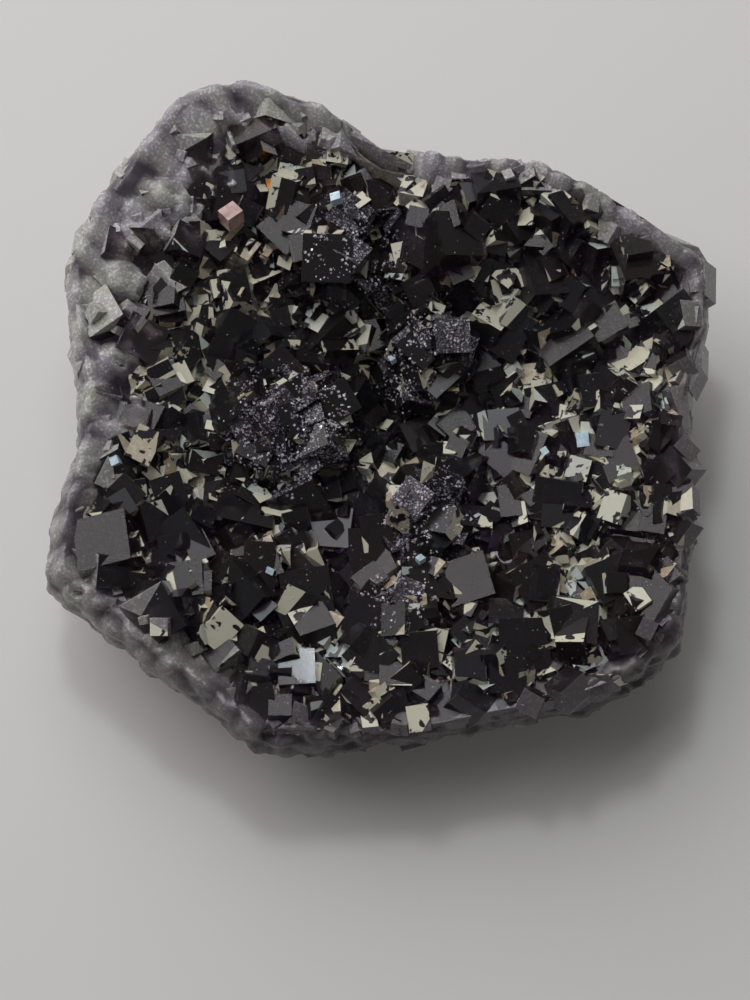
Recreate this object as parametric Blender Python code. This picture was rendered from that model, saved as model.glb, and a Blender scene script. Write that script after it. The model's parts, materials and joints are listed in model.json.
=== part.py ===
"""A dark fluorite cluster on its rock, lying on the rock's flat broken back.

Metres, +Z up. The origin is the middle of the flat back, and the crystals look up.
The rock is a thick-walled bowl. One crust of fluorite cubes grown together lines the
bowl, rises in round clusters, covers the rim and hangs a little way down the sides.
"""

import math
import random

import bmesh
import bpy
import numpy as np
from mathutils import Matrix, Vector, noise

MM = 0.001

# The crust's outline in plan, in mm: the tips of its crystals, anticlockwise from the right
OUTLINE = [
    (68, 4), (71, 14), (73, 22), (74, 34), (72, 42), (62, 45), (53, 48), (47, 55), (36, 59),
    (24, 60), (10, 61), (2, 60), (-5, 69), (-14, 74), (-27, 76), (-36, 83), (-44, 81),
    (-50, 70), (-59, 61), (-66, 49), (-71, 40), (-70, 24), (-68, 14), (-66, 2), (-67, -10),
    (-71, -20), (-76, -29), (-71, -37), (-62, -42), (-54, -50), (-46, -57), (-34, -63),
    (-28, -70), (-14, -71), (-8, -73), (0, -71), (11, -69), (21, -67), (36, -65), (50, -60),
    (61, -54), (66, -45), (67, -33), (69, -23), (70, -14), (69, -5),
]
OVERHANG = 1.0 * MM  # the crystals stand out past the massive fluorite by this
CRUST = 3.5 * MM  # massive fluorite between the rock and the cubes
GAP = 0.3 * MM  # between the rock and the crust

# The rim stands higher on the far left side than on the near side
RIM_MIDDLE = 38 * MM
RIM_SWING = 6 * MM
RIM_TURN = math.radians(20)
BOWL_FLOOR = 19 * MM
BOWL_CURVE = 1.7

# Round clusters that rise in the bowl: x, y, radius and rise, in mm
CLUSTERS = [
    (-20, 2, 15, 12),  # left
    (-9, 42, 14, 8),  # upper left, beside the cleft
    (13, 38, 12, 6),  # upper right, across the cleft
    (10, 19, 9, 11),  # above the pit, right
    (11, -16, 11, 9),  # below the pit
    (5, -40, 11, 4),  # near side
]
# The cleft between the two lobes, from the notch in the rim to the pit, in mm
CLEFT_TOP = Vector((2, 66))
CLEFT_FOOT = Vector((1, 10))
CLEFT_WIDTH = 6.5
CLEFT_DEPTHS = (17, 5)  # at its top and at its foot
CLEFT_BARE = 0.35  # no crystals grow where the cleft is deeper than this share
PIT = (2, 6, 13, 5)  # x, y, radius and depth, in mm

# Rings of the bowl from its middle outwards, as shares of the outline's radius
BOWL_RINGS = [0, 0.12, 0.24, 0.35, 0.46, 0.56, 0.66, 0.76, 0.85, 0.93]
# Rings of the rim and wall: share of the outline's radius, share of the rim's height
WALL_RINGS = [(0.985, 1.0), (1.0, 0.88), (0.99, 0.6), (0.93, 0.34), (0.85, 0.13), (0.79, 0.0)]
BASE_RINGS = [0.45, 0]
SPOKES = 34
RING_COUNT = len(BOWL_RINGS) + len(WALL_RINGS) + len(BASE_RINGS)
CRUST_LAST_RING = len(BOWL_RINGS) + 2  # the crust thins out below this ring

# Larger crystals that catch the light: x, y, edge in mm, spin, lean and its direction in degrees
SINGLE_CRYSTALS = [
    (-2, -51, 9, 45, 14, 250), (-16, -36, 11, 8, 16, 260), (-26, -30, 9, 20, 12, 200),
    (-42, -35, 8, 5, 10, 180), (-18, -55, 8, 2, 8, 120), (3, -56, 7, 0, 10, 90),
    (8, -50, 8, 5, 16, 280), (30, -49, 11, 3, 14, 300), (41, -46, 10, 355, 12, 60),
    (49, -36, 9, 25, 10, 20), (33, -35, 10, 30, 16, 330), (30, -17, 8, 5, 14, 100),
    (27, -56, 8, 0, 12, 270), (17, 2, 7, 42, 12, 90), (33, 42, 8, 350, 14, 110),
    (-11, 6, 8, 35, 26, 350), (-12, 37, 11, 358, 8, 265), (15, 40, 11, 12, 30, 20),
    (15, 20, 8, 5, 14, 330), (42, 18, 12, 30, 32, 140), (-30, -37, 12, 40, 34, 210),
    (-59, -28, 12, 10, 16, 160), (-48, -43, 11, 28, 20, 230), (64, 21, 10, 40, 24, 10),
    (62, -20, 9, 0, 16, 10), (53, -48, 8, 10, 20, 330), (1, -63, 8, 30, 24, 280),
    (-11, -64, 9, 60, 34, 300), (-27, -62, 10, 8, 20, 250), (-47, 34, 8, 40, 34, 30),
    (-48, 28, 8, 12, 12, 100), (-48, 10, 7, 30, 12, 60), (-38, -1, 7, 15, 10, 40),
    (-47, -14, 7, 20, 14, 300), (25, 52, 10, 12, 26, 90), (33, 54, 9, 0, 14, 80),
    (42, 46, 9, 30, 26, 60), (-34, 32, 8, 10, 30, 330), (10, -1, 7, 30, 36, 200),
    (20, -34, 10, 15, 16, 200), (47, 7, 8, 10, 12, 30), (57, 34, 11, 15, 20, 80),
    (6, -42, 8, 4, 16, 270), (-28, 67, 10, 20, 24, 130), (-61, 24, 9, 30, 20, 170),
]
SEED = 21
GROWN_EDGES = (7.0 * MM, 12.0 * MM)
GROWN_LEANS = (4, 50)  # degrees
LOWEST = 12 * MM  # none grow below this height
GROWN_TRIES = 2600
SUNK = 0.1  # how deep a crystal's middle lies in the ground, in edges
RIM_STARTS = 0.9  # as a share of the outline's radius
RIM_SUNK = 0.38  # the same on the rim and the wall, where only low corners stand out
RIM_SIZE = 0.72  # the rim's crystals are smaller by this
SINGLE_RAISED = (0.08, -0.25)  # middles of the larger crystals above it, inside and on the rim
SPACING = 0.94  # nearest two crystals' middles, as a share of their mean edge


def polar_outline():
    """The outline's points as matching arrays of angle and radius, in order of angle."""
    pairs = sorted((math.atan2(y, x), math.hypot(x, y) * MM) for x, y in OUTLINE)
    return np.array([p[0] for p in pairs]), np.array([p[1] for p in pairs])


ANGLES, RADII = polar_outline()


def ground_radius(angle):
    return float(np.interp(angle, ANGLES, RADII, period=2 * math.pi)) - OVERHANG


def rim_height(angle):
    return RIM_MIDDLE + RIM_SWING * math.sin(angle + RIM_TURN)


def share_out(x, y):
    """How far out a point lies, as a share of the ground's radius in its direction."""
    return math.hypot(x, y) / ground_radius(math.atan2(y, x))


def dome(x, y, middle_x, middle_y, radius):
    """1 on the dome's middle, falling to 0 at its radius. Lengths are in mm."""
    away = math.hypot(x / MM - middle_x, y / MM - middle_y) / radius
    return max(0.0, 1 - away * away) ** 0.8


def cleft(x, y):
    """How near a point is to the cleft's line, from 0 to 1, and the cleft's depth there."""
    run = CLEFT_FOOT - CLEFT_TOP
    here = Vector((x / MM, y / MM))
    share = min(1.0, max(0.0, (here - CLEFT_TOP).dot(run) / run.length_squared))
    away = (here - CLEFT_TOP - run * share).length / CLEFT_WIDTH
    top, foot = CLEFT_DEPTHS
    return max(0.0, 1 - away * away), (top + (foot - top) * share) * MM


def bowl_height(x, y):
    """Height of the massive fluorite inside the rim, under the cubes."""
    share = min(1.0, share_out(x, y))
    height = BOWL_FLOOR + (rim_height(math.atan2(y, x)) - BOWL_FLOOR) * share**BOWL_CURVE
    for middle_x, middle_y, radius, rise in CLUSTERS:
        height += rise * MM * dome(x, y, middle_x, middle_y, radius)
    height -= PIT[3] * MM * dome(x, y, *PIT[:3])
    nearness, depth = cleft(x, y)
    height -= nearness * depth
    return height + 1.2 * MM * noise.noise(Vector((x, y, 0)) / (11 * MM))


def ring_point(ring, angle, inset):
    """A point of the skin, drawn in by inset, on the ring counted from the bowl's middle."""
    radius = ground_radius(angle)
    rough = 1 + 0.02 * noise.noise(Vector((math.cos(angle), math.sin(angle), ring * 0.4)) * 3)
    if ring < len(BOWL_RINGS):
        reach = BOWL_RINGS[ring] * (radius - inset)
        x, y = reach * math.cos(angle), reach * math.sin(angle)
        return Vector((x, y, bowl_height(x, y) - inset))
    ring -= len(BOWL_RINGS)
    if ring < len(WALL_RINGS):
        share, lift = WALL_RINGS[ring]
        reach = share * radius * rough - inset
        height = lift * (rim_height(angle) - inset)
    else:
        reach = BASE_RINGS[ring - len(WALL_RINGS)] * radius
        height = 0.0
    return Vector((reach * math.cos(angle), reach * math.sin(angle), height))


def skin_mesh(name, inset_of_ring, lift_of_base=0.0):
    """A closed lump: a sphere whose rings are moved onto the bowl, the wall and the back."""
    body = bmesh.new()
    bmesh.ops.create_uvsphere(body, u_segments=SPOKES, v_segments=RING_COUNT - 1, radius=1)
    for vertex in body.verts:
        ring = round(math.acos(max(-1.0, min(1.0, vertex.co.z))) / math.pi * (RING_COUNT - 1))
        angle = math.atan2(vertex.co.y, vertex.co.x)
        vertex.co = ring_point(ring, angle, inset_of_ring(ring))
        vertex.co.z = max(vertex.co.z, lift_of_base)
    bmesh.ops.recalc_face_normals(body, faces=body.faces)
    bmesh.ops.triangulate(body, faces=body.faces, quad_method="SHORT_EDGE")
    mesh = bpy.data.meshes.new(name)
    body.to_mesh(mesh)
    body.free()
    return mesh


def room_for(rock):
    """The rock's own shape, grown by the gap."""
    mesh = rock.data.copy()
    for vertex in mesh.vertices:
        vertex.co += vertex.normal * GAP
    return bpy.data.objects.new("rock_room", mesh)


def crust_inset(ring):
    """The crust follows the skin down to its last ring, and sinks into the rock below it."""
    return 0.0 if ring <= CRUST_LAST_RING else CRUST + 2 * MM


def turned(spin, lean, direction):
    """A rotation: spin about the upright, then a lean towards a direction. In radians."""
    axis = Vector((-math.sin(direction), math.cos(direction), 0))
    return Matrix.Rotation(lean, 3, axis) @ Matrix.Rotation(spin, 3, "Z")


def single_crystals():
    """The named larger crystals as (middle, rotation, edges), set on the ground by x and y."""
    found = []
    for x, y, edge, spin, lean, direction in SINGLE_CRYSTALS:
        x, y, edge = x * MM, y * MM, edge * MM
        height = bowl_height(x, y) + edge * SINGLE_RAISED[share_out(x, y) > RIM_STARTS]
        rotation = turned(*(math.radians(a) for a in (spin, lean, direction)))
        found.append((Vector((x, y, height)), rotation, Vector((edge, edge, edge))))
    return found


def grown_crystals(ground, singles):
    """More crystals, thrown on the ground and kept where no neighbour is too near."""
    draws = random.Random(SEED)
    faces = [f for f in ground.polygons if f.center.z > LOWEST and f.normal.z > -0.3]
    faces.sort(key=lambda f: sorted(f.vertices))
    areas = [round(f.area / MM**2, 3) for f in faces]
    found = []
    for face in draws.choices(faces, areas, k=GROWN_TRIES):
        corners = [ground.vertices[i].co for i in sorted(face.vertices)]
        weights = [draws.random() + 0.05 for _ in corners]
        spot = sum((c * w for c, w in zip(corners, weights)), Vector()) / sum(weights)
        edge = draws.uniform(*GROWN_EDGES)
        spin = math.radians(draws.uniform(0, 90))
        lean = math.radians(draws.uniform(*GROWN_LEANS))
        direction = math.radians(draws.uniform(0, 360))
        shape = Vector([edge * draws.uniform(0.86, 1.12) for _ in range(3)])
        crowded = any(
            (spot - other).length < SPACING * (edge + max(size)) / 2
            for other, _, size in singles + found
        )
        if crowded or cleft(spot.x, spot.y)[0] > CLEFT_BARE:
            continue
        outwards = Vector([round(n, 3) for n in face.normal])
        upright = Vector((0, 0, 1)).rotation_difference(outwards).to_matrix()
        sunk = SUNK
        if share_out(spot.x, spot.y) > RIM_STARTS:
            sunk = RIM_SUNK
            shape *= RIM_SIZE
        middle = spot - outwards * edge * sunk
        found.append((middle, upright @ turned(spin, lean, direction), shape))
    return found


def put_cubes(crystals, collection):
    """One cube object for each crystal, as a shape that the crust takes in."""
    for number, (middle, rotation, size) in enumerate(crystals):
        body = bmesh.new()
        bmesh.ops.create_cube(body, size=1)
        mesh = bpy.data.meshes.new(f"cube_{number:03d}")
        bmesh.ops.scale(body, vec=size, verts=body.verts)
        bmesh.ops.transform(body, matrix=rotation.to_4x4(), verts=body.verts)
        body.to_mesh(mesh)
        body.free()
        cube = bpy.data.objects.new(f"cube_{number:03d}", mesh)
        cube.location = middle
        put_helper(cube, collection)


def put_helper(obj, collection):
    obj.hide_render = True
    obj.display_type = "WIRE"
    collection.objects.link(obj)


def material(name, colour, roughness, metallic=0.0, transmission=0.0, ior=1.5):
    made = bpy.data.materials.new(name)
    made.use_nodes = True
    shader = made.node_tree.nodes["Principled BSDF"]
    shader.inputs["Base Color"].default_value = (*colour, 1)
    shader.inputs["Roughness"].default_value = roughness
    shader.inputs["Metallic"].default_value = metallic
    shader.inputs["Transmission Weight"].default_value = transmission
    shader.inputs["IOR"].default_value = ior
    return made


def put_node(name, mesh, collection, finish):
    mesh.name = name
    mesh.materials.clear()
    mesh.materials.append(finish)
    obj = bpy.data.objects.new(name, mesh)
    collection.objects.link(obj)
    return obj


def rock_matrix(collection):
    """The pale rock that the fluorite grew on: a thick bowl with a flat back."""
    mesh = skin_mesh("rock_matrix", lambda ring: CRUST)
    finish = material("matrix_rock", (0.34, 0.31, 0.27), roughness=0.85)
    return put_node("rock_matrix", mesh, collection, finish)


def largest_piece(mesh):
    """Leaves only the largest of a mesh's separate pieces, the crust itself."""
    body = bmesh.new()
    body.from_mesh(mesh)
    unseen = set(body.faces)
    pieces = []
    while unseen:
        front = [unseen.pop()]
        piece = []
        while front:
            face = front.pop()
            piece.append(face)
            for other in (near for edge in face.edges for near in edge.link_faces):
                if other in unseen:
                    unseen.remove(other)
                    front.append(other)
        pieces.append(piece)
    pieces.sort(key=len)
    for piece in pieces[:-1]:
        bmesh.ops.delete(body, geom=piece, context="FACES")
    body.to_mesh(mesh)
    body.free()
    return mesh


def fluorite_crust(rock, collection, helpers):
    """The massive fluorite and the cubes grown on it, joined, less the rock's own room."""
    ground = skin_mesh("crust_ground", crust_inset, lift_of_base=5 * MM)
    singles = single_crystals()
    grown = grown_crystals(ground, singles)
    cubes = bpy.data.collections.new("crust cubes")
    helpers.children.link(cubes)
    put_cubes(singles + grown, cubes)
    room = room_for(rock)
    put_helper(room, helpers)

    body = bpy.data.objects.new("crust_body", ground)
    put_helper(body, helpers)
    join = body.modifiers.new("join cubes", "BOOLEAN")
    join.operation = "UNION"
    join.operand_type = "COLLECTION"
    join.collection = cubes
    join.solver = "MANIFOLD"
    cut = body.modifiers.new("cut rock", "BOOLEAN")
    cut.operation = "DIFFERENCE"
    cut.object = room
    cut.solver = "MANIFOLD"
    bpy.context.view_layer.update()
    graph = bpy.context.evaluated_depsgraph_get()
    mesh = bpy.data.meshes.new_from_object(body.evaluated_get(graph))
    finish = material("fluorite", (0.05, 0.04, 0.06), 0.08, transmission=0.9, ior=1.434)
    return put_node("fluorite_crust", largest_piece(mesh), collection, finish)


def build():
    for obj in list(bpy.data.objects):
        bpy.data.objects.remove(obj, do_unlink=True)
    specimen = bpy.data.collections.new("fluorite specimen")
    helpers = bpy.data.collections.new("shapes joined or cut")
    bpy.context.scene.collection.children.link(specimen)
    bpy.context.scene.collection.children.link(helpers)
    rock = rock_matrix(specimen)
    fluorite_crust(rock, specimen, helpers)


build()
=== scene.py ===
"""The looks of a dark fluorite cluster: its rock, its grown-together cubes and their pale rim.

Metres, +Z up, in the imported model's frame. The specimen lies on its back and the camera
looks down into its bowl. The sections follow the specimen outwards, from rock to dust.
"""

import json
import math
import random

import bmesh
import bpy
from mathutils import Matrix, Vector, noise
from mathutils.bvhtree import BVHTree

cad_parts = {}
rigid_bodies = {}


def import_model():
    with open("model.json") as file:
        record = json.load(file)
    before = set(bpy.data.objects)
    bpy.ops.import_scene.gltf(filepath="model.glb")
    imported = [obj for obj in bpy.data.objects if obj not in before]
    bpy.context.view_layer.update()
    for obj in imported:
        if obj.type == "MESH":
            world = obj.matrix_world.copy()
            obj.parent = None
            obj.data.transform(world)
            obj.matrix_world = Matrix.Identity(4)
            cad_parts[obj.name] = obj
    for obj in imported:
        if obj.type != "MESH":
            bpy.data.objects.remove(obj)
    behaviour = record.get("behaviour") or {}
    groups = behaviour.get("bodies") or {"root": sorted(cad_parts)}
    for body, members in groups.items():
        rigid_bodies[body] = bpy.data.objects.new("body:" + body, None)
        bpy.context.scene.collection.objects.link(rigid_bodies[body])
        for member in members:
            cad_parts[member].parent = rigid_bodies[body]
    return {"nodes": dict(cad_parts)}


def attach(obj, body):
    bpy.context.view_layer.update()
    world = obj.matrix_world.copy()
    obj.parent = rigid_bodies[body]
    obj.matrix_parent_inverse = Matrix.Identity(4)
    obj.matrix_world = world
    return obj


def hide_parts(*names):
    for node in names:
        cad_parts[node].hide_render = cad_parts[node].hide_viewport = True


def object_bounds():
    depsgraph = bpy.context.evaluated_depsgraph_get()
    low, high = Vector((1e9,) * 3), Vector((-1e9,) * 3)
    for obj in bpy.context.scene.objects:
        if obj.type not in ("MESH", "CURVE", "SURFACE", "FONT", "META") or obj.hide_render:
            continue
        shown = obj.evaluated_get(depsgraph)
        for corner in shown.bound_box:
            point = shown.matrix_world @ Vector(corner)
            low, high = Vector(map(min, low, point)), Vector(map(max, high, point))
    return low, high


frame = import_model()
cad_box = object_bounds()
MM = 0.001


# The table and the daylight. The specimen lies on a plain pale table under one large soft
# window at the far left, with a small brighter pane in it that makes the crystals glint.
TABLE_COLOUR = (0.62, 0.61, 0.59)
TABLE_HALF_WIDTH = 3.0
TABLE_DROP = 0.2 * MM  # the table's top lies this far under the specimen's back
WINDOW_FROM = Vector((-0.42, 0.56, 0.71))
WINDOW_AWAY = 1.3
WINDOW_SIDE = 1.7
WINDOW_RADIANCE = 2.2
WINDOW_COLOUR = (1.0, 0.97, 0.985)
PANE_FROM = Vector((-0.10, 0.42, 0.90))
PANE_AWAY = 1.2
PANE_SIDE = 0.16
PANE_RADIANCE = 30.0
PANE_COLOUR = (0.86, 0.94, 1.0)
ROOM_LIGHT = 0.16


def stone_material(name, roughness, ior=1.5):
    """A new material and its Principled shader."""
    made = bpy.data.materials.new(name)
    made.use_nodes = True
    shader = made.node_tree.nodes["Principled BSDF"]
    shader.inputs["Roughness"].default_value = roughness
    shader.inputs["IOR"].default_value = ior
    return made, shader


def soft_window(name, towards, away, side, radiance, colour):
    """A square area light that looks at the specimen's middle."""
    data = bpy.data.lights.new(name, "AREA")
    data.shape = "SQUARE"
    data.size = side
    data.color = colour
    data.energy = radiance * math.pi * side * side
    light = bpy.data.objects.new(name, data)
    light.location = towards.normalized() * away
    light.rotation_euler = towards.to_track_quat("Z", "Y").to_euler()
    bpy.context.scene.collection.objects.link(light)


def lay_table():
    bpy.ops.mesh.primitive_plane_add(size=2 * TABLE_HALF_WIDTH, location=(0, 0, -TABLE_DROP))
    table = bpy.context.object
    table.name = "table"
    finish, shader = stone_material("pale_table", 0.7)
    shader.inputs["Base Color"].default_value = (*TABLE_COLOUR, 1)
    table.data.materials.append(finish)


lay_table()
soft_window("window", WINDOW_FROM, WINDOW_AWAY, WINDOW_SIDE, WINDOW_RADIANCE, WINDOW_COLOUR)
soft_window("pane", PANE_FROM, PANE_AWAY, PANE_SIDE, PANE_RADIANCE, PANE_COLOUR)
world = bpy.data.worlds.new("room")
world.use_nodes = True
world.node_tree.nodes["Background"].inputs["Color"].default_value = (1, 1, 1, 1)
world.node_tree.nodes["Background"].inputs["Strength"].default_value = ROOM_LIGHT
bpy.context.scene.world = world
bpy.context.scene.view_settings.view_transform = "Standard"


# The camera looks down into the bowl from the near side. Its picture is 750 x 1000 pixels,
# and the specimen's middle lies above the picture's own middle.
CAMERA_ELEVATION = math.radians(74)
CAMERA_AWAY = 0.6
MM_A_PIXEL = 0.2183
PICTURE_HEIGHT = 1000
LOOKED_AT_HEIGHT = 38 * MM
MIDDLE_RIGHT_OF_PICTURE = 6.5 * MM_A_PIXEL * MM
MIDDLE_ABOVE_PICTURE = 83.5 * MM_A_PIXEL * MM


def place_camera():
    data = bpy.data.cameras.new("camera")
    data.sensor_width = 36
    data.lens = data.sensor_width * CAMERA_AWAY / (PICTURE_HEIGHT * MM_A_PIXEL * MM)
    camera = bpy.data.objects.new("camera", data)
    backwards = Vector((0, -math.cos(CAMERA_ELEVATION), math.sin(CAMERA_ELEVATION)))
    up = Vector((0, math.sin(CAMERA_ELEVATION), math.cos(CAMERA_ELEVATION)))
    aim = Vector((-MIDDLE_RIGHT_OF_PICTURE, 0, LOOKED_AT_HEIGHT)) - up * MIDDLE_ABOVE_PICTURE
    camera.location = aim + backwards * CAMERA_AWAY
    camera.rotation_euler = (math.radians(90) - CAMERA_ELEVATION, 0, 0)
    bpy.context.scene.collection.objects.link(camera)
    bpy.context.scene.camera = camera


place_camera()


# The rock matrix: the pale brown-grey rock that the fluorite grew on, a thick-walled bowl that
# is broken off rough at its sides and flat at its back. Its skin has small lumps and ledges.
ROCK_CUTS = 3
ROCK_WEAR = 1.8 * MM
ROCK_LUMP = 7 * MM
ROCK_BROWN = (0.16, 0.125, 0.1, 1)
ROCK_PALE = (0.42, 0.38, 0.33, 1)
ROCK_GRAIN = (0.5, 0.47, 0.43, 1)
BACK_STAYS_FLAT = 0.3 * MM  # the wear starts above this height


def welded(mesh):
    """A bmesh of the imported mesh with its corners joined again, so that it is closed."""
    body = bmesh.new()
    body.from_mesh(mesh)
    bmesh.ops.remove_doubles(body, verts=body.verts, dist=1e-6)
    return body


def mesh_from(body, name):
    mesh = bpy.data.meshes.new(name)
    body.to_mesh(mesh)
    body.free()
    return mesh


def put_piece(name, mesh, slot, *finishes):
    for finish in finishes:
        mesh.materials.append(finish)
    piece = bpy.data.objects.new(name, mesh)
    bpy.context.scene.collection.objects.link(piece)
    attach(piece, "root")
    return piece


def grain_group():
    """Grains: a mask of fine speckles, a mask of broad patches, and their height."""
    group = bpy.data.node_groups.new("grains", "ShaderNodeTree")
    group.interface.new_socket("Speckle Scale", in_out="INPUT", socket_type="NodeSocketFloat")
    group.interface.new_socket("Patch Scale", in_out="INPUT", socket_type="NodeSocketFloat")
    for output in ("Speckles", "Patches", "Height"):
        group.interface.new_socket(output, in_out="OUTPUT", socket_type="NodeSocketFloat")
    add = group.nodes.new
    link = group.links.new
    given = add("NodeGroupInput")
    result = add("NodeGroupOutput")
    place = add("ShaderNodeTexCoord")
    fine = add("ShaderNodeTexNoise")
    fine.inputs["Detail"].default_value = 6
    broad = add("ShaderNodeTexNoise")
    broad.inputs["Detail"].default_value = 3
    speckles = add("ShaderNodeMapRange")
    speckles.inputs["From Min"].default_value = 0.5
    speckles.inputs["From Max"].default_value = 0.72
    patches = add("ShaderNodeMapRange")
    patches.inputs["From Min"].default_value = 0.38
    patches.inputs["From Max"].default_value = 0.64
    both = add("ShaderNodeMath")
    both.operation = "ADD"
    for texture, scale in ((fine, "Speckle Scale"), (broad, "Patch Scale")):
        link(place.outputs["Object"], texture.inputs["Vector"])
        link(given.outputs[scale], texture.inputs["Scale"])
    link(fine.outputs["Fac"], speckles.inputs["Value"])
    link(broad.outputs["Fac"], patches.inputs["Value"])
    link(fine.outputs["Fac"], both.inputs[0])
    link(broad.outputs["Fac"], both.inputs[1])
    link(speckles.outputs["Result"], result.inputs["Speckles"])
    link(patches.outputs["Result"], result.inputs["Patches"])
    link(both.outputs["Value"], result.inputs["Height"])
    return group


GRAINS = grain_group()


def grains_in(tree, speckles_a_metre, patches_a_metre):
    node = tree.nodes.new("ShaderNodeGroup")
    node.node_tree = GRAINS
    node.inputs["Speckle Scale"].default_value = speckles_a_metre
    node.inputs["Patch Scale"].default_value = patches_a_metre
    return node


def mixed(tree, mask, first, second):
    """A colour that goes from the first to the second as the mask goes from 0 to 1."""
    node = tree.nodes.new("ShaderNodeMix")
    node.data_type = "RGBA"
    tree.links.new(mask, node.inputs["Factor"])
    for socket, colour in (("A_Color", first), ("B_Color", second)):
        target = next(s for s in node.inputs if s.identifier == socket)
        if isinstance(colour, tuple):
            target.default_value = colour
        else:
            tree.links.new(colour, target)
    return next(s for s in node.outputs if s.identifier == "Result_Color")


def bumped(tree, shader, height, strength, depth):
    node = tree.nodes.new("ShaderNodeBump")
    node.inputs["Strength"].default_value = strength
    node.inputs["Distance"].default_value = depth
    tree.links.new(height, node.inputs["Height"])
    tree.links.new(node.outputs["Normal"], shader.inputs["Normal"])


def rock_finish():
    finish, shader = stone_material("rock", 0.85)
    tree = finish.node_tree
    grains = grains_in(tree, 1400, 90)
    patches = mixed(tree, grains.outputs["Patches"], ROCK_BROWN, ROCK_PALE)
    colour = mixed(tree, grains.outputs["Speckles"], patches, ROCK_GRAIN)
    tree.links.new(colour, shader.inputs["Base Color"])
    bumped(tree, shader, grains.outputs["Height"], 0.6, 0.4 * MM)
    return finish


def rough_rock():
    """The rock with its skin worn in by lumps and ledges. Its back stays flat."""
    body = welded(frame["nodes"]["rock_matrix"].data)
    bmesh.ops.subdivide_edges(body, edges=body.edges, cuts=ROCK_CUTS, use_grid_fill=True)
    body.normal_update()
    moves = {}
    for vertex in body.verts:
        place = vertex.co / ROCK_LUMP
        lumps = noise.ridged_multi_fractal(place, 1.0, 2.2, 4, 1.0, 2.0, noise_basis="BLENDER")
        chips = noise.cell(place * 2.5)
        depth = ROCK_WEAR * min(1.0, max(0.0, 0.3 * lumps + 0.35 * chips))
        if vertex.co.z > BACK_STAYS_FLAT:
            moves[vertex] = vertex.normal * depth
    for vertex, move in moves.items():
        vertex.co -= move
    return mesh_from(body, "rock")


rock = put_piece("rock", rough_rock(), "rock", rock_finish())
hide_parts("rock_matrix")


# The fluorite crust: massive fluorite and dark cubes that grew into each other as one piece.
# Smaller cubes fill the gaps between the large ones. Some faces carry a cream film, and the
# crystals of the rim and the sides are cloudy and pale, most of all at the far left: there the rim
# is widest, and towards the near right their finish is darkened by painted shade.
CRYSTAL_SEED = 4
MEDIUM_EDGES = (4.5 * MM, 8.0 * MM)
SMALL_EDGES = (1.8 * MM, 4.6 * MM)
RIM_EDGES = (2.2 * MM, 4.2 * MM)
CRUST_THICKNESS = 3.5 * MM
CRUST_FOOT = 9 * MM  # nothing grows below this height
ROCK_GAP = 0.2 * MM
BEHIND_CRUST = 0.8 * MM  # faces nearer than this to the rock look at it
BARE_BELOW = CRUST_THICKNESS + 0.8 * MM  # ground nearer than this to the rock has no cube on it
HIGHEST = cad_box[1][2]  # no crystal stands above this
OUTLINE_STEPS = 180
OUTLINE_HEIGHT = 24 * MM
OUTSIDE = 0.2  # metres from the middle, well clear of the rock
SKIN_RISE = 0.6 * MM
LOOKS = 6  # slanting looks out from a spot, to see how sheltered it is
LOOK_SLANT = math.radians(68)
LOOK_REACH = 1.6  # in edges of the crystal to be set there
SMALL_ONES = 1.6  # above 1, the smaller sizes are commoner
GREATEST_LEAN = 0.8  # radians
SIDES = (0.75, 1.15)  # a crystal's three sides, in edges
GLINT_LEANS = (0.1, 0.5)  # radians
GLINT_SIDES = (0.85, 1.1)
RIM_BARE = 0.35  # of the rim's width, from the outline in, where no crystal stands
FLUORITE_IOR = 1.434
DARK_TINT = (0.66, 0.62, 0.70, 1)
BROWN_TINT = (0.74, 0.62, 0.52, 1)
CREAM = (0.54, 0.52, 0.405, 1)
CREAM_PEACH = (0.33, 0.255, 0.175, 1)
CREAM_BLUE = (0.36, 0.42, 0.41, 1)
UNDER_FILM = (0.012, 0.009, 0.014, 1)
FROST_DARK = (0.020, 0.015, 0.024, 1)
FROST_WHITE = (0.72, 0.67, 0.76, 1)
ABSORBED_COLOUR = (0.42, 0.31, 0.48, 1)
ABSORBED_A_METRE = 420.0
DARK_SLOT, CREAM_SLOT, RIM_SLOT, FROST_SLOT, AMBER_REFLECTION_SLOT, PINK_SLOT, PAINTED_GLINT_SLOT = range(7)
# a painted reflection: the orange glint seen inside a crystal, painted as the colour of two small
# crystals
AMBER_PAINTED_REFLECTION = (0.80, 0.30, 0.05, 1)
PINK = (0.55, 0.36, 0.33, 1)
# painted glints: the blue-white of the pane's reflection, painted as the colour of single crystals
PAINTED_GLINT = (0.62, 0.78, 0.88, 1)
# Single crystals that stand out by their colour, the amber ones as a painted orange reflection
# and the bright ones as painted glints of the pane: x, y and edge in mm, spin in degrees, slot
GLINTING = [
    (-24, 56, 3.0, 15, AMBER_REFLECTION_SLOT), (-23, 54, 1.4, 60, AMBER_REFLECTION_SLOT),
    (-33.5, 47, 4.4, 40, PINK_SLOT),
    (44.5, -3, 3.2, 5, PAINTED_GLINT_SLOT), (36, -6, 1.8, 30, PAINTED_GLINT_SLOT),
    (-58, -9.5, 2.0, 20, PAINTED_GLINT_SLOT), (6, -8.5, 1.5, 15, PAINTED_GLINT_SLOT),
    (8.5, -30, 1.5, 40, PAINTED_GLINT_SLOT), (-24.5, -33, 1.7, 70, PAINTED_GLINT_SLOT),
    (2.5, 16, 1.5, 25, PAINTED_GLINT_SLOT), (24, -50, 1.6, 80, PAINTED_GLINT_SLOT),
    (-10, 50, 2.2, 10, PAINTED_GLINT_SLOT),
]
GLINTS_RAISED = 0.5  # how far the middles of these lie above the ground, in edges
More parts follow.
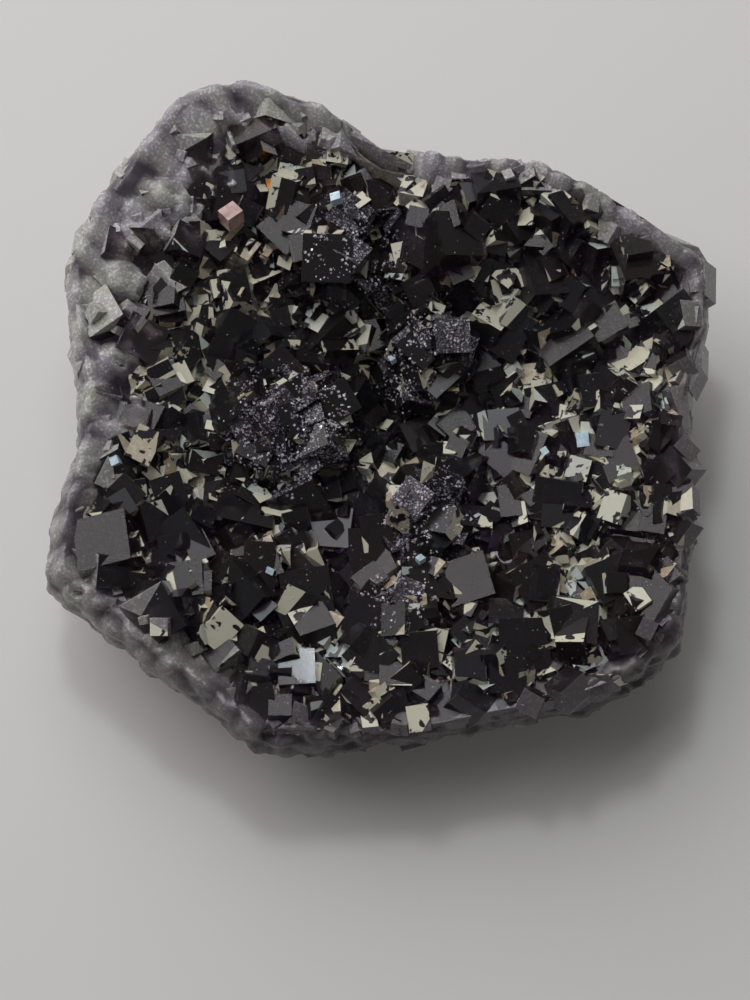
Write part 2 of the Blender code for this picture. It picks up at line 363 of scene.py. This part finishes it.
# How far in from the outline the pale crystals reach: degrees round from +X, and mm
RIM_WIDTHS = [
    (0, 2), (20, 4), (30, 6), (42, 6), (60, 5), (75, 6), (88, 7.5), (100, 8), (115, 13), (135, 18),
    (155, 17),
    (172, 12), (185, 9), (198, 6), (218, 10), (238, 8), (255, 4), (262, 3), (300, 2), (320, 4),
    (340, 2), (360, 2),
]
# Where cream faces are commonest: x, y and radius in mm
CREAM_SPOTS = [
    (-18, 62, 12), (-34, 33, 14), (-10, 24, 11), (11, 57, 9), (30, 26, 11), (40, 5, 12),
    (56, 32, 9), (4, -12, 9), (-24, -23, 10), (-13, -47, 7), (35, -37, 9), (-50, 13, 12),
    (61, -44, 7), (9, 13, 7), (50, -13, 13), (42, -30, 11), (57, 9, 9), (-43, -10, 9),
    (-56, 33, 8), (33, 47, 9), (22, -52, 9), (-2, -57, 8), (-36, -50, 8),
]
CREAM_LEAST = 0.26
CREAM_MOST = 1.0
# The round clusters, white with frost: x, y and radius in mm, and how thick the frost is
FROST_SPOTS = [
    (-20, 0, 16, 1.0), (-6, 40, 14, 0.4), (9, 17, 12, 0.5), (11, -20, 12, 0.6), (5, -40, 10, 0.5),
]
# Which facets of the finished crust are filmed, frosted or pale: shares of the facets, and the
# areas below which a facet is filmed as a whole or pale
CREAM_AT_RIM = 0.06
CREAM_INSIDE = 0.7
FROST_FACTOR = 1.6
FILMED_AREA = 12 * MM**2
PALE_AREA = 24 * MM**2
WALL_SHARE = 0.45  # of the rim's width, counted in from the outline
WALL_DEPTH = 12 * MM
# The films on the cubes' own faces: how far along its edges one starts, and how often the
# larger part of the face has it
FILM_STARTS = (0.2, 0.8)
LARGE_FILMS = 0.2
# Tears in the cream film
TEARS_A_METRE = 240
TORN_BELOW = 0.43
TEAR_EDGE = 0.015


class Neighbours:
    """Places with a size each, found quickly by where they are."""

    def __init__(self, cell):
        self.cell = cell
        self.found = {}

    def key(self, place):
        return tuple(math.floor(c / self.cell) for c in place)

    def add(self, place, size):
        self.found.setdefault(self.key(place), []).append((place, size))

    def near(self, place):
        i, j, k = self.key(place)
        for a in (i - 1, i, i + 1):
            for b in (j - 1, j, j + 1):
                for c in (k - 1, k, k + 1):
                    yield from self.found.get((a, b, c), ())


def reach_of_crust(rock_tree):
    """How far the crust reaches out from the middle in each direction, in even steps."""
    reach = []
    for step in range(OUTLINE_STEPS):
        turn = 2 * math.pi * step / OUTLINE_STEPS
        out = Vector((math.cos(turn), math.sin(turn), 0))
        side = rock_tree.ray_cast(out * OUTSIDE + Vector((0, 0, OUTLINE_HEIGHT)), -out)[0]
        reach.append(math.hypot(side.x, side.y) + CRUST_THICKNESS)
    return reach


def depth_in(place):
    """How far in from the crust's outline a place lies."""
    turn = math.atan2(place.y, place.x) / (2 * math.pi) % 1 * OUTLINE_STEPS
    first = int(turn)
    share = turn - first
    low, high = (crust_reach[n % OUTLINE_STEPS] for n in (first, first + 1))
    return low + (high - low) * share - math.hypot(place.x, place.y)


def by_turn(table, place):
    """A length read from a table of degrees round from +X and mm."""
    turn = math.degrees(math.atan2(place.y, place.x)) % 360
    for (low, first), (high, second) in zip(table, table[1:]):
        if turn <= high:
            return (first + (second - first) * (turn - low) / (high - low)) * MM


def rim_width(place):
    return by_turn(RIM_WIDTHS, place)


def creaminess(place):
    """The share of faces that are cream around a place."""
    most = 0.0
    for x, y, radius in CREAM_SPOTS:
        away = math.hypot(place.x / MM - x, place.y / MM - y) / radius
        most = max(most, 1 - away * away)
    return CREAM_LEAST + (CREAM_MOST - CREAM_LEAST) * most


def frost_share(place):
    """How thick the frost is at a place, from 0 to 1."""
    most = 0.0
    for x, y, radius, thickness in FROST_SPOTS:
        away = math.hypot(place.x / MM - x, place.y / MM - y) / radius
        most = max(most, thickness * (1 - away * away))
    return most * max(0.0, 0.7 + 1.6 * noise.noise(place / (4 * MM)))


def turned(spin, lean, direction):
    """A rotation: spin about the upright, then a lean towards a direction. In radians."""
    axis = Vector((-math.sin(direction), math.cos(direction), 0))
    return Matrix.Rotation(lean, 3, axis) @ Matrix.Rotation(spin, 3, "Z")


def outer_faces(body, rock_tree):
    """The crust's faces that look outwards, and not at the rock behind it."""
    faces = []
    for face in body.faces:
        middle = face.calc_center_median()
        if middle.z > CRUST_FOOT and rock_tree.find_nearest(middle)[3] > BEHIND_CRUST:
            faces.append(face)
    faces.sort(key=lambda f: tuple(round(c, 6) for c in f.calc_center_median()))
    return faces


def sheltered(tree, spot, outwards, draws, reach):
    """How many slanting looks out from the spot meet a crystal close by."""
    upright = Vector((0, 0, 1)).rotation_difference(outwards).to_matrix()
    start = spot + outwards * 0.3 * MM
    first = draws.uniform(0, 2 * math.pi)
    hits = 0
    for look in range(LOOKS):
        slant = turned(0, LOOK_SLANT, first + look * math.pi / 3)
        hits += tree.ray_cast(start, upright @ slant @ Vector((0, 0, 1)), reach)[0] is not None
    return hits


def thrown(
    faces, tree, draws, tries, edges, spacing, sunk, shelter=0, slot=DARK_SLOT, where=None
):
    """Crystals thrown on the faces, and kept where there is room and enough shelter.

    Spacing is in mean edges between two middles, and sunk is how deep a middle lies, in edges.
    """
    taken = Neighbours(max(edges) * 1.1)
    areas = [round(f.calc_area() / MM**2, 3) for f in faces]
    kept = []
    for face in draws.choices(faces, areas, k=tries):
        corners = sorted((v.co for v in face.verts), key=tuple)
        weights = [draws.random() + 0.02 for _ in corners]
        spot = sum((c * w for c, w in zip(corners, weights)), Vector()) / sum(weights)
        outwards = Vector([round(n, 3) for n in face.normal]).normalized()
        edge = edges[0] + (edges[1] - edges[0]) * draws.random() ** SMALL_ONES
        spin, lean = draws.uniform(0, math.pi / 2), draws.uniform(0, GREATEST_LEAN)
        around = turned(spin, lean, draws.uniform(0, 2 * math.pi))
        shape = Vector([edge * draws.uniform(*SIDES) for _ in range(3)])
        if where and not where(spot):
            continue
        if shelter and sheltered(tree, spot, outwards, draws, edge * LOOK_REACH) < shelter:
            continue
        near = taken.near(spot)
        if any((spot - other).length < spacing * (edge + size) / 2 for other, size in near):
            continue
        upright = Vector((0, 0, 1)).rotation_difference(outwards).to_matrix()
        middle, rotation = spot - outwards * edge * sunk, upright @ around
        if middle.z + sum(abs(n) * side for n, side in zip(rotation[2], shape)) / 2 > HIGHEST:
            continue
        taken.add(spot, edge)
        kept.append((middle, rotation, shape, slot))
    return kept


def glinting_crystals(draws):
    """The single coloured crystals, set into the crust by x and y. The amber and bright ones carry
    painted reflections.
    """
    found = []
    for x, y, edge, spin, slot in GLINTING:
        spot = crust_tree.ray_cast(Vector((x * MM, y * MM, 0.1)), Vector((0, 0, -1)))[0]
        spot.z += GLINTS_RAISED * edge * MM
        lean, direction = draws.uniform(*GLINT_LEANS), draws.uniform(0, 2 * math.pi)
        rotation = turned(math.radians(spin), lean, direction)
        shape = Vector([edge * MM * draws.uniform(*GLINT_SIDES) for _ in range(3)])
        found.append((spot, rotation, shape, slot))
    return found


def apart(crystals):
    """The crystals in lots: no two in one lot touch."""
    lots = []
    farthest = max(shape.length for _, _, shape, _ in crystals)
    for crystal in crystals:
        place, _, shape, _ = crystal
        half = shape.length / 2
        for members, near in lots:
            if all((place - other).length > half + size for other, size in near.near(place)):
                break
        else:
            members, near = [], Neighbours(farthest)
            lots.append((members, near))
        members.append(crystal)
        near.add(place, half)
    return [members for members, _ in lots]


def film_on(face, draws):
    """Cuts a corner or a strip off a face's edge and makes it cream."""
    edges = list(face.edges)
    first = draws.randrange(len(edges))
    second = (first + draws.choice((1, 1, 2))) % len(edges)
    corners = [
        bmesh.utils.edge_split(edge, edge.verts[0], draws.uniform(*FILM_STARTS))[1]
        for edge in (edges[first], edges[second])
    ]
    halves = [face, bmesh.utils.face_split(face, *corners)[0]]
    smaller, larger = sorted(halves, key=lambda f: f.calc_area())
    filmed = larger if draws.random() < LARGE_FILMS else smaller
    filmed.material_index = CREAM_SLOT


def add_cube(body, place, rotation, shape):
    corners = bmesh.ops.create_cube(body, size=1)["verts"]
    fitted = Matrix.Translation(place) @ rotation.to_4x4() @ Matrix.Diagonal((*shape, 1))
    bmesh.ops.transform(body, matrix=fitted, verts=corners)


def cubes_mesh(crystals, draws, finishes):
    """The lot's crystals as cubes, with cream films on some of their faces."""
    body = bmesh.new()
    for place, rotation, shape, slot in crystals:
        add_cube(body, place, rotation, shape)
        share = creaminess(place)
        for face in body.faces[-6:]:
            face.material_index = slot
            if slot in (DARK_SLOT, RIM_SLOT) and draws.random() < share:
                film_on(face, draws)
    mesh = mesh_from(body, "lot")
    for finish in finishes:
        mesh.materials.append(finish)
    return mesh


def rock_room(finishes):
    """The rock's own shape, a little grown, which the crystals leave free."""
    body = welded(frame["nodes"]["rock_matrix"].data)
    body.normal_update()
    places = [vertex.co + vertex.normal * ROCK_GAP for vertex in body.verts]
    for vertex, place in zip(body.verts, places):
        vertex.co = place
    mesh = mesh_from(body, "room")
    for finish in finishes:
        mesh.materials.append(finish)
    return mesh


def grown_together(base, crystals, name, finishes):
    """One closed mesh of the base and all the crystals, joined and cut to the rock."""
    draws = random.Random(CRYSTAL_SEED)
    lots = bpy.data.collections.new(name + " lots")
    bpy.context.scene.collection.children.link(lots)
    for number, members in enumerate(apart(crystals)):
        lot = bpy.data.objects.new(f"{name}_lot_{number}", cubes_mesh(members, draws, finishes))
        lots.objects.link(lot)
    for finish in finishes:
        base.materials.append(finish)
    start = bpy.data.objects.new(name + "_start", base)
    bpy.context.scene.collection.objects.link(start)
    join = start.modifiers.new("join", "BOOLEAN")
    join.operation = "UNION"
    join.solver = "MANIFOLD"
    join.operand_type = "COLLECTION"
    join.collection = lots
    room = bpy.data.objects.new(name + "_room", rock_room(finishes))
    bpy.context.scene.collection.objects.link(room)
    cut = start.modifiers.new("cut", "BOOLEAN")
    cut.operation = "DIFFERENCE"
    cut.solver = "MANIFOLD"
    cut.object = room
    bpy.context.view_layer.update()
    graph = bpy.context.evaluated_depsgraph_get()
    mesh = bpy.data.meshes.new_from_object(start.evaluated_get(graph))
    mesh.name = name
    for helper in [*lots.objects, start, room]:
        bpy.data.objects.remove(helper)
    bpy.data.collections.remove(lots)
    return mesh


def finish_facets(mesh):
    """Gives each facet a tone, and some of them the pale, cream or frosted finish."""
    draws = random.Random(CRYSTAL_SEED)
    tones = mesh.attributes.new("tone", "FLOAT", "FACE")
    order = sorted(mesh.polygons, key=lambda p: tuple(round(c, 6) for c in p.center))
    for facet in order:
        tones.data[facet.index].value = draws.random()
        ragged = 1 + 0.7 * noise.noise(facet.center / (6 * MM)) + draws.uniform(-0.25, 0.25)
        depth = depth_in(facet.center)
        pale = depth < rim_width(facet.center) * ragged
        outwards = facet.center.xy.normalized().dot(facet.normal.xy)
        near_edge = depth < WALL_SHARE * rim_width(facet.center)
        on_wall = near_edge or (depth < WALL_DEPTH and outwards > 0.5)
        share = CREAM_AT_RIM if pale else CREAM_INSIDE * creaminess(facet.center)
        on_rock = rock_tree.find_nearest(facet.center)[3] < 2 * ROCK_GAP
        if facet.material_index > FROST_SLOT or on_rock:
            continue
        if facet.area < FILMED_AREA and draws.random() < share:
            facet.material_index = CREAM_SLOT
        elif pale and (on_wall or facet.area < PALE_AREA):
            facet.material_index = RIM_SLOT
        elif draws.random() < FROST_FACTOR * frost_share(facet.center):
            facet.material_index = FROST_SLOT


def coloured_fluorite(name, colour):
    finish, shader = stone_material(name, 0.12, ior=FLUORITE_IOR)
    tree = finish.node_tree
    grains = grains_in(tree, 1100, 400)
    shade = tuple(0.55 * c for c in colour[:3]) + (1,)
    patches = mixed(tree, grains.outputs["Patches"], shade, colour)
    tree.links.new(patches, shader.inputs["Base Color"])
    bumped(tree, shader, grains.outputs["Height"], 0.3, 0.2 * MM)
    return finish


def stored(tree, name):
    """A value that the mesh stores for each facet or corner, 0 where it has none."""
    node = tree.nodes.new("ShaderNodeAttribute")
    node.attribute_name = name
    return node.outputs["Fac"]


def ranged(tree, value, low, high):
    """The value, from 0 to 1, spread between low and high."""
    node = tree.nodes.new("ShaderNodeMapRange")
    node.inputs["To Min"].default_value = low
    node.inputs["To Max"].default_value = high
    tree.links.new(value, node.inputs["Value"])
    return node.outputs["Result"]


def absorbing(tree, colour, density):
    """The crystal's body colour: what it takes out of the light that goes through it."""
    node = tree.nodes.new("ShaderNodeVolumeAbsorption")
    node.inputs["Color"].default_value = colour
    node.inputs["Density"].default_value = density
    tree.links.new(node.outputs["Volume"], tree.nodes["Material Output"].inputs["Volume"])


def dark_fluorite():
    finish, shader = stone_material("dark_fluorite", 0.05, ior=FLUORITE_IOR)
    shader.inputs["Transmission Weight"].default_value = 0.985
    tree = finish.node_tree
    grains = grains_in(tree, 1100, 60)
    colour = mixed(tree, grains.outputs["Patches"], DARK_TINT, BROWN_TINT)
    tree.links.new(colour, shader.inputs["Base Color"])
    tree.links.new(ranged(tree, stored(tree, "tone"), 0.03, 0.32), shader.inputs["Roughness"])
    bumped(tree, shader, grains.outputs["Height"], 0.05, 0.12 * MM)
    absorbing(tree, ABSORBED_COLOUR, ABSORBED_A_METRE)
    return finish


def torn(tree):
    """A mask with crisp and wavy edges: 1 where the film is, 0 where it is torn away."""
    place = tree.nodes.new("ShaderNodeTexCoord")
    shape = tree.nodes.new("ShaderNodeTexNoise")
    shape.inputs["Scale"].default_value = TEARS_A_METRE
    shape.inputs["Detail"].default_value = 4
    shape.inputs["Distortion"].default_value = 0.9
    tree.links.new(place.outputs["Object"], shape.inputs["Vector"])
    mask = tree.nodes.new("ShaderNodeMapRange")
    mask.inputs["From Min"].default_value = TORN_BELOW
    mask.inputs["From Max"].default_value = TORN_BELOW + TEAR_EDGE
    tree.links.new(shape.outputs["Fac"], mask.inputs["Value"])
    return mask.outputs["Result"]


def cream_fluorite():
    finish, shader = stone_material("cream_fluorite", 0.3, ior=FLUORITE_IOR)
    tree = finish.node_tree
    grains = grains_in(tree, 900, 160)
    colour = mixed(tree, ranged(tree, stored(tree, "tone"), -2.4, 1.4), CREAM, CREAM_PEACH)
    colour = mixed(tree, ranged(tree, stored(tree, "tone"), 1.0, -3.0), colour, CREAM_BLUE)
    colour = mixed(tree, grains.outputs["Speckles"], colour, CREAM)
    colour = mixed(tree, torn(tree), UNDER_FILM, colour)
    tree.links.new(colour, shader.inputs["Base Color"])
    bumped(tree, shader, grains.outputs["Height"], 0.2, 0.2 * MM)
    return finish


def frosted_fluorite():
    finish, shader = stone_material("frosted_fluorite", 0.14, ior=FLUORITE_IOR)
    tree = finish.node_tree
    grains = grains_in(tree, 2100, 420)
    white = mixed(tree, grains.outputs["Patches"], FROST_DARK, FROST_WHITE)
    colour = mixed(tree, grains.outputs["Speckles"], FROST_DARK, white)
    tree.links.new(colour, shader.inputs["Base Color"])
    bumped(tree, shader, grains.outputs["Height"], 1.0, 0.35 * MM)
    return finish


crust_body = welded(frame["nodes"]["fluorite_crust"].data)
bmesh.ops.dissolve_limit(
    crust_body, angle_limit=math.radians(0.5), verts=crust_body.verts, edges=crust_body.edges
)
crust_tree = BVHTree.FromBMesh(crust_body)
rock_tree = BVHTree.FromBMesh(welded(frame["nodes"]["rock_matrix"].data))
crust_reach = reach_of_crust(rock_tree)


def worn_edge(body):
    """Lowers the outermost crystals, so that only their tips show through the rim's skin."""
    for vertex in body.verts:
        on_rock, _, _, away = rock_tree.find_nearest(vertex.co)
        stands_out = away - CRUST_THICKNESS - SKIN_RISE
        outer = 1 - max(0.0, min(1.0, (depth_in(vertex.co) - 1 * MM) / (3 * MM)))
        if stands_out > 0 and outer > 0:
            lowered = away - 0.75 * stands_out * outer
            vertex.co = on_rock + (vertex.co - on_rock) * (lowered / away)


def inside_rim(spot):
    return depth_in(spot) > rim_width(spot)


def at_rim(spot):
    return RIM_BARE * rim_width(spot) < depth_in(spot) < rim_width(spot)


def on_bare_ground(spot):
    return inside_rim(spot) and rock_tree.find_nearest(spot)[3] < BARE_BELOW


def crystal_crust(pale):
    """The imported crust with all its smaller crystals, of which the rim's have the pale finish."""
    faces = outer_faces(crust_body, rock_tree)
    draws = random.Random(CRYSTAL_SEED)
    medium = thrown(
        faces, crust_tree, draws, tries=2500, edges=MEDIUM_EDGES, spacing=0.8, sunk=0.15,
        shelter=2, where=inside_rim,
    )
    medium += thrown(
        faces, crust_tree, draws, tries=2500, edges=MEDIUM_EDGES, spacing=0.9, sunk=0.1,
        where=on_bare_ground,
    )
    small = thrown(
        faces, crust_tree, draws, tries=9000, edges=SMALL_EDGES, spacing=0.72, sunk=0.12,
        shelter=2, where=inside_rim,
    )
    rim = thrown(
        faces, crust_tree, draws, tries=1500, edges=RIM_EDGES, spacing=1.3, sunk=0.0,
        slot=RIM_SLOT, where=at_rim,
    )
    finishes = (
        dark_fluorite(), cream_fluorite(), pale, frosted_fluorite(),
        # the amber finish is a painted orange reflection
        coloured_fluorite("amber_reflection_fluorite", AMBER_PAINTED_REFLECTION), coloured_fluorite("pink_fluorite", PINK),
        # painted glints of the pane
        coloured_fluorite("painted_glint_fluorite", PAINTED_GLINT),
    )
    worn_edge(crust_body)
    base = bpy.data.meshes.new("crust")
    crust_body.to_mesh(base)
    named = glinting_crystals(draws)
    mesh = grown_together(base, medium + small + rim + named, "fluorite_crystals", finishes)
    finish_facets(mesh)
    return mesh


# The pale skin of the rim: cloudy grey-green to lilac fluorite in small round lumps. It grew on
# the crust's edge as one skin, from among the outermost cubes over the top and down the side to
# the bare rock, and is widest at the far left. Its colour carries painted shade in the creases
# between the lumps, on its underside and towards the near right.
SKIN_STEPS = 520
SKIN_TURNS = 46
# The skin is swept round a line inside the rock, from the bowl's side over the top to the wall
SKIN_FROM, SKIN_TO = math.radians(140), math.radians(2)
HEART_DEPTH = 9 * MM
HEART_HEIGHT = 16 * MM
EDGE_HEIGHT = 25 * MM
SKIN_DIP = -1.8 * MM  # how far it sinks where the crystals or the rock stand free
# How much thicker the skin is than its least: degrees round from +X, and mm
SKIN_SWELLS = [
    (0, 0.8), (8, 0.2), (16, 1.4), (25, 0.1), (40, 0.5), (48, 1.2), (60, 1.5), (85, 1.6), (95, 1.3),
    (108, 1.1), (117, 2.8), (128, 0.4), (150, 0.7), (170, 0.8), (188, 1.5), (203, 2.2), (220, 1.5),
    (240, 1.7), (250, 1.6), (262, 0.5), (280, 0.1), (300, 0.1), (318, 1.5), (335, 1.1), (347, 1.7),
    (360, 0.8),
]
SKIN_UNDERSIDE = 1.2 * MM
SKIN_TAPER = 2.2 * MM
SKIN_FOOT = 20 * MM
LUMPS = ((4.8 * MM, 1.9 * MM), (1.8 * MM, 0.5 * MM))  # width and height, large and small
LUMP_REACH = 0.8  # of its width, from a lump's middle to the crease around it
RIM_GREY = (0.33, 0.33, 0.285, 1)
RIM_LILAC = (0.275, 0.25, 0.285, 1)
RIM_PALE = (0.62, 0.61, 0.585, 1)
# painted shade, for the rim away from the window at the near right
RIM_PAINTED_SHADE = (0.045, 0.034, 0.040, 1)
# painted shade, for the creases between the lumps and the skin's underside
RIM_CREASE_SHADE = (0.075, 0.06, 0.075, 1)


def painted_light_from_far_left(tree):
    """A mask of painted light from the window: 0.15 at the near right, in painted shade, rising to
    1 at the far left.
    """
    place = tree.nodes.new("ShaderNodeTexCoord")
    along = tree.nodes.new("ShaderNodeVectorMath")
    along.operation = "DOT_PRODUCT"
    along.inputs[1].default_value = (-0.6, 0.8, 0)
    mask = tree.nodes.new("ShaderNodeMapRange")
    mask.inputs["From Min"].default_value = -0.05
    mask.inputs["From Max"].default_value = 0.04
    mask.inputs["To Min"].default_value = 0.15
    tree.links.new(place.outputs["Object"], along.inputs[0])
    tree.links.new(along.outputs["Value"], mask.inputs["Value"])
    return mask.outputs["Result"]


def rim_fluorite():
    finish, shader = stone_material("rim_fluorite", 0.22, ior=FLUORITE_IOR)
    shader.inputs["Subsurface Weight"].default_value = 0.5
    shader.inputs["Subsurface Radius"].default_value = (2.0 * MM, 1.9 * MM, 2.1 * MM)
    shader.inputs["Subsurface Scale"].default_value = 1.0
    tree = finish.node_tree
    grains = grains_in(tree, 1500, 110)
    colour = mixed(tree, grains.outputs["Patches"], RIM_GREY, RIM_LILAC)
    colour = mixed(tree, grains.outputs["Speckles"], colour, RIM_PALE)
    # painted shade: darker in the creases between the lumps and on the skin's underside
    colour = mixed(tree, ranged(tree, stored(tree, "crease"), -0.3, 1.0), colour, RIM_CREASE_SHADE)
    # painted shade: the rim's colour darkens towards the near right, away from the window
    colour = mixed(tree, painted_light_from_far_left(tree), RIM_PAINTED_SHADE, colour)
    tree.links.new(colour, shader.inputs["Base Color"])
    bumped(tree, shader, grains.outputs["Height"], 0.4, 0.3 * MM)
    return finish


def crease(place, width):
    """0 on the middle of a round lump of that width, rising to 1 between the lumps."""
    return min(1.0, (noise.voronoi(place / width)[0][0] / LUMP_REACH) ** 2)


def lump(place):
    """Height of the skin's round lumps at a place."""
    return sum(rise * (1 - crease(place, width)) for width, rise in LUMPS)


def skin_rise(place):
    """How far the skin stands out from the crust's own face. Below 0 it is hidden inside."""
    ragged = 1 + 0.8 * noise.noise(place / (7 * MM)) + 0.5 * noise.noise(place / (2.5 * MM))
    to_bowl = rim_width(place) * ragged - depth_in(place)
    to_rock = place.z - SKIN_FOOT * (1 + 0.24 * noise.noise(place / (8 * MM)))
    share = max(-1.0, min(1.0, to_bowl / SKIN_TAPER, to_rock / SKIN_TAPER))
    if share < 0:
        return SKIN_DIP * -share
    return share * (SKIN_RISE + by_turn(SKIN_SWELLS, place) + lump(place))


def rim_skin():
    """The skin as a closed shell: an outer and an under side, both rings of points."""
    body = bmesh.new()
    rings = []
    crease_shades = []
    for step in range(SKIN_STEPS):
        turn = 2 * math.pi * step / SKIN_STEPS
        out = Vector((math.cos(turn), math.sin(turn), 0))
        edge = rock_tree.ray_cast(out * OUTSIDE + Vector((0, 0, EDGE_HEIGHT)), -out)[0]
        heart = out * (math.hypot(edge.x, edge.y) - HEART_DEPTH) + Vector((0, 0, HEART_HEIGHT))
        ring = []
        under = []
        for number in range(SKIN_TURNS):
            slope = SKIN_FROM + (SKIN_TO - SKIN_FROM) * number / (SKIN_TURNS - 1)
            towards = out * math.cos(slope) + Vector((0, 0, math.sin(slope)))
            place = rock_tree.ray_cast(heart, towards)[0] + towards * CRUST_THICKNESS
            ring.append(body.verts.new(place + towards * skin_rise(place)))
            under.append(body.verts.new(place + towards * (SKIN_UNDERSIDE - CRUST_THICKNESS)))
            # the crease mask, for the painted shade between the lumps; the underside gets 1, full
            # painted shade
            crease_shades += [crease(place, LUMPS[0][0]), 1.0]
        rings.append(ring + under[::-1])
    for step, ring in enumerate(rings):
        following = rings[(step + 1) % SKIN_STEPS]
        for number in range(len(ring)):
            after = (number + 1) % len(ring)
            body.faces.new((ring[number], ring[after], following[after], following[number]))
    bmesh.ops.recalc_face_normals(body, faces=body.faces)
    mesh = mesh_from(body, "pale_rim")
    mesh.attributes.new("crease", "FLOAT", "POINT").data.foreach_set("value", crease_shades)
    mesh.shade_smooth()
    return mesh


pale_finish = rim_fluorite()
put_piece("pale_rim", rim_skin(), "fluorite", pale_finish)

# The crystals of the section above share the skin's finish, so they are put in place here
crystals = put_piece("fluorite_crystals", crystal_crust(pale_finish), "fluorite")
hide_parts("fluorite_crust")


# The druse on the round clusters: very small pale crystals that grew on the frosted cubes and
# sparkle. The dust is loose grit that lies on the faces.
DRUSE_EDGES = (0.22 * MM, 0.6 * MM)
DRUSE_TRIES = 9000
DRUSE_LILAC = (0.20, 0.175, 0.22, 1)
DRUSE_WHITE = (0.62, 0.60, 0.64, 1)
DUST_EDGES = (0.09 * MM, 0.2 * MM)
DUST_TRIES = 2400
DUST_COLOUR = (0.30, 0.30, 0.30, 1)


def druse_finish(name, low, high, roughness):
    finish, shader = stone_material(name, roughness, ior=FLUORITE_IOR)
    tree = finish.node_tree
    grains = grains_in(tree, 1500, 400)
    colour = mixed(tree, grains.outputs["Patches"], low, high)
    tree.links.new(colour, shader.inputs["Base Color"])
    return finish


def loose_cubes(crystals, name):
    body = bmesh.new()
    for place, rotation, shape, _ in crystals:
        add_cube(body, place, rotation, shape)
    return mesh_from(body, name)


def druse_and_dust():
    body = bmesh.new()
    body.from_mesh(crystals.data)
    bmesh.ops.triangulate(body, faces=body.faces)
    faces = [f for f in body.faces if f.normal.z > 0.1 and f.calc_center_median().z > 15 * MM]
    draws = random.Random(CRYSTAL_SEED)

    def frosted(spot):
        return draws.random() < frost_share(spot)

    near = [f for f in faces if frost_share(f.calc_center_median()) > 0]
    druse = thrown(
        near, None, draws, DRUSE_TRIES, DRUSE_EDGES, spacing=0.7, sunk=0.2, where=frosted
    )
    dust = thrown(faces, None, draws, DUST_TRIES, DUST_EDGES, spacing=1.5, sunk=-0.3)
    sparkling = druse_finish("druse", DRUSE_LILAC, DRUSE_WHITE, 0.1)
    put_piece("cluster_druse", loose_cubes(druse, "cluster_druse"), "fluorite", sparkling)
    grit = druse_finish("dust", DUST_COLOUR, DRUSE_WHITE, 0.6)
    put_piece("dust", loose_cubes(dust, "dust"), "fluorite", grit)


druse_and_dust()
